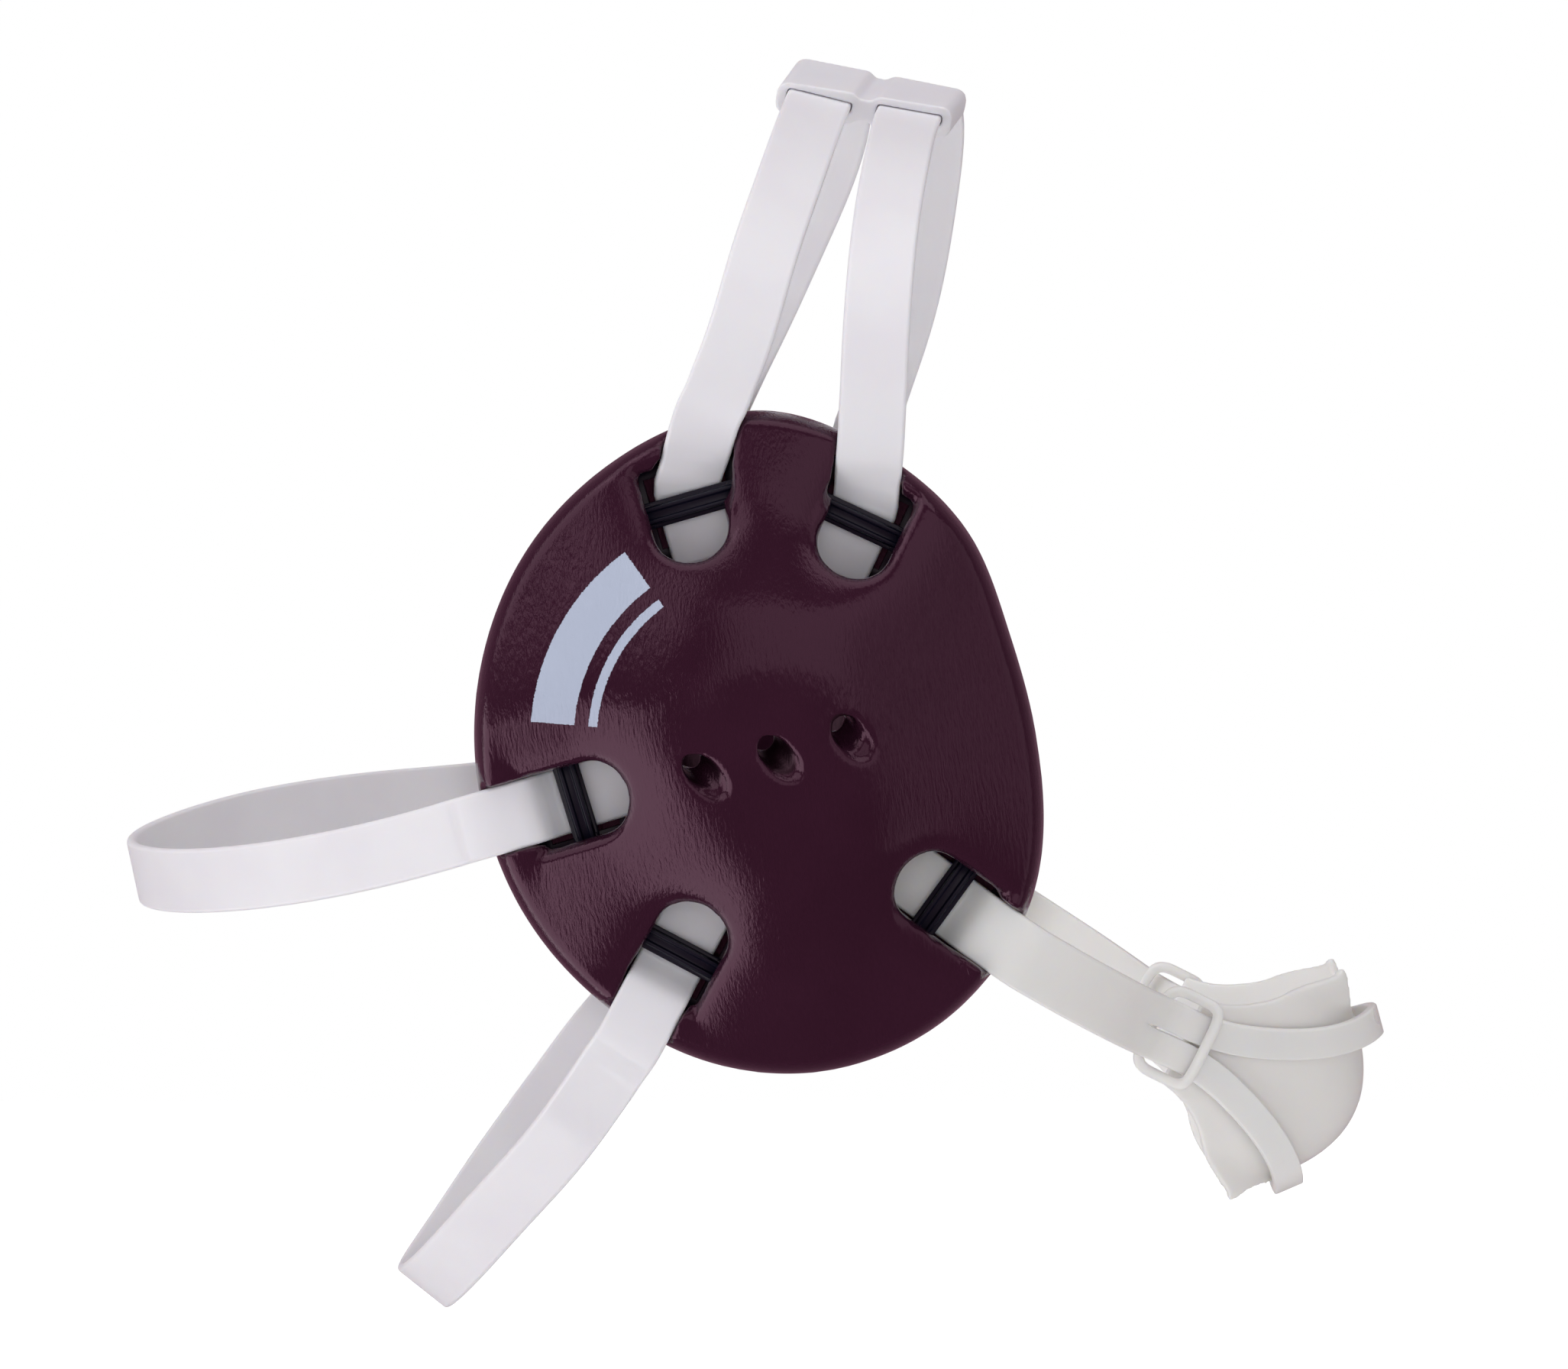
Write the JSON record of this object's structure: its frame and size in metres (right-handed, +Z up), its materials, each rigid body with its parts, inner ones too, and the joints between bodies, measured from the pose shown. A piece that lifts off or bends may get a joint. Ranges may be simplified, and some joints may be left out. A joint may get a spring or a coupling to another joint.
{
  "type": "wrestling ear guard",
  "caption": "Wrestling headgear with padded ear cups, soft adjustable straps over crown, back, nape and chin, a crown slider and a moulded chin cup.",
  "frame": {"origin": "in the middle plane, where the crown straps rest on the crown of the head", "axes": "+X forward, +Y the wearer's left, +Z up, with the guard as it sits on a head"},
  "size_m": [0.2529, 0.21, 0.2521],
  "materials": {
    "dipped_shell": "glossy dipped maroon vinyl over foam, with fine grain",
    "strap_vinyl": "soft white vinyl with a satin skin",
    "chin_vinyl": "soft warm white vinyl, moulded, satin",
    "anchor_plastic": "black moulded plastic, semi gloss"
  },
  "bodies": {
    "root": {"right_ear_cup": "dipped_shell", "left_ear_cup": "dipped_shell", "right_anchor_crown_front": "anchor_plastic", "right_anchor_crown_rear": "anchor_plastic", "right_anchor_back": "anchor_plastic", "right_anchor_nape": "anchor_plastic", "right_anchor_chin": "anchor_plastic", "left_anchor_crown_front": "anchor_plastic", "left_anchor_crown_rear": "anchor_plastic", "left_anchor_back": "anchor_plastic", "left_anchor_nape": "anchor_plastic", "left_anchor_chin": "anchor_plastic", "crown_strap_rear": "strap_vinyl", "crown_strap_front": "strap_vinyl", "crown_slider": "strap_vinyl", "back_strap": "strap_vinyl", "nape_strap": "strap_vinyl", "chin_strap": "chin_vinyl", "chin_cup": "chin_vinyl"}
  },
  "joints": []
}
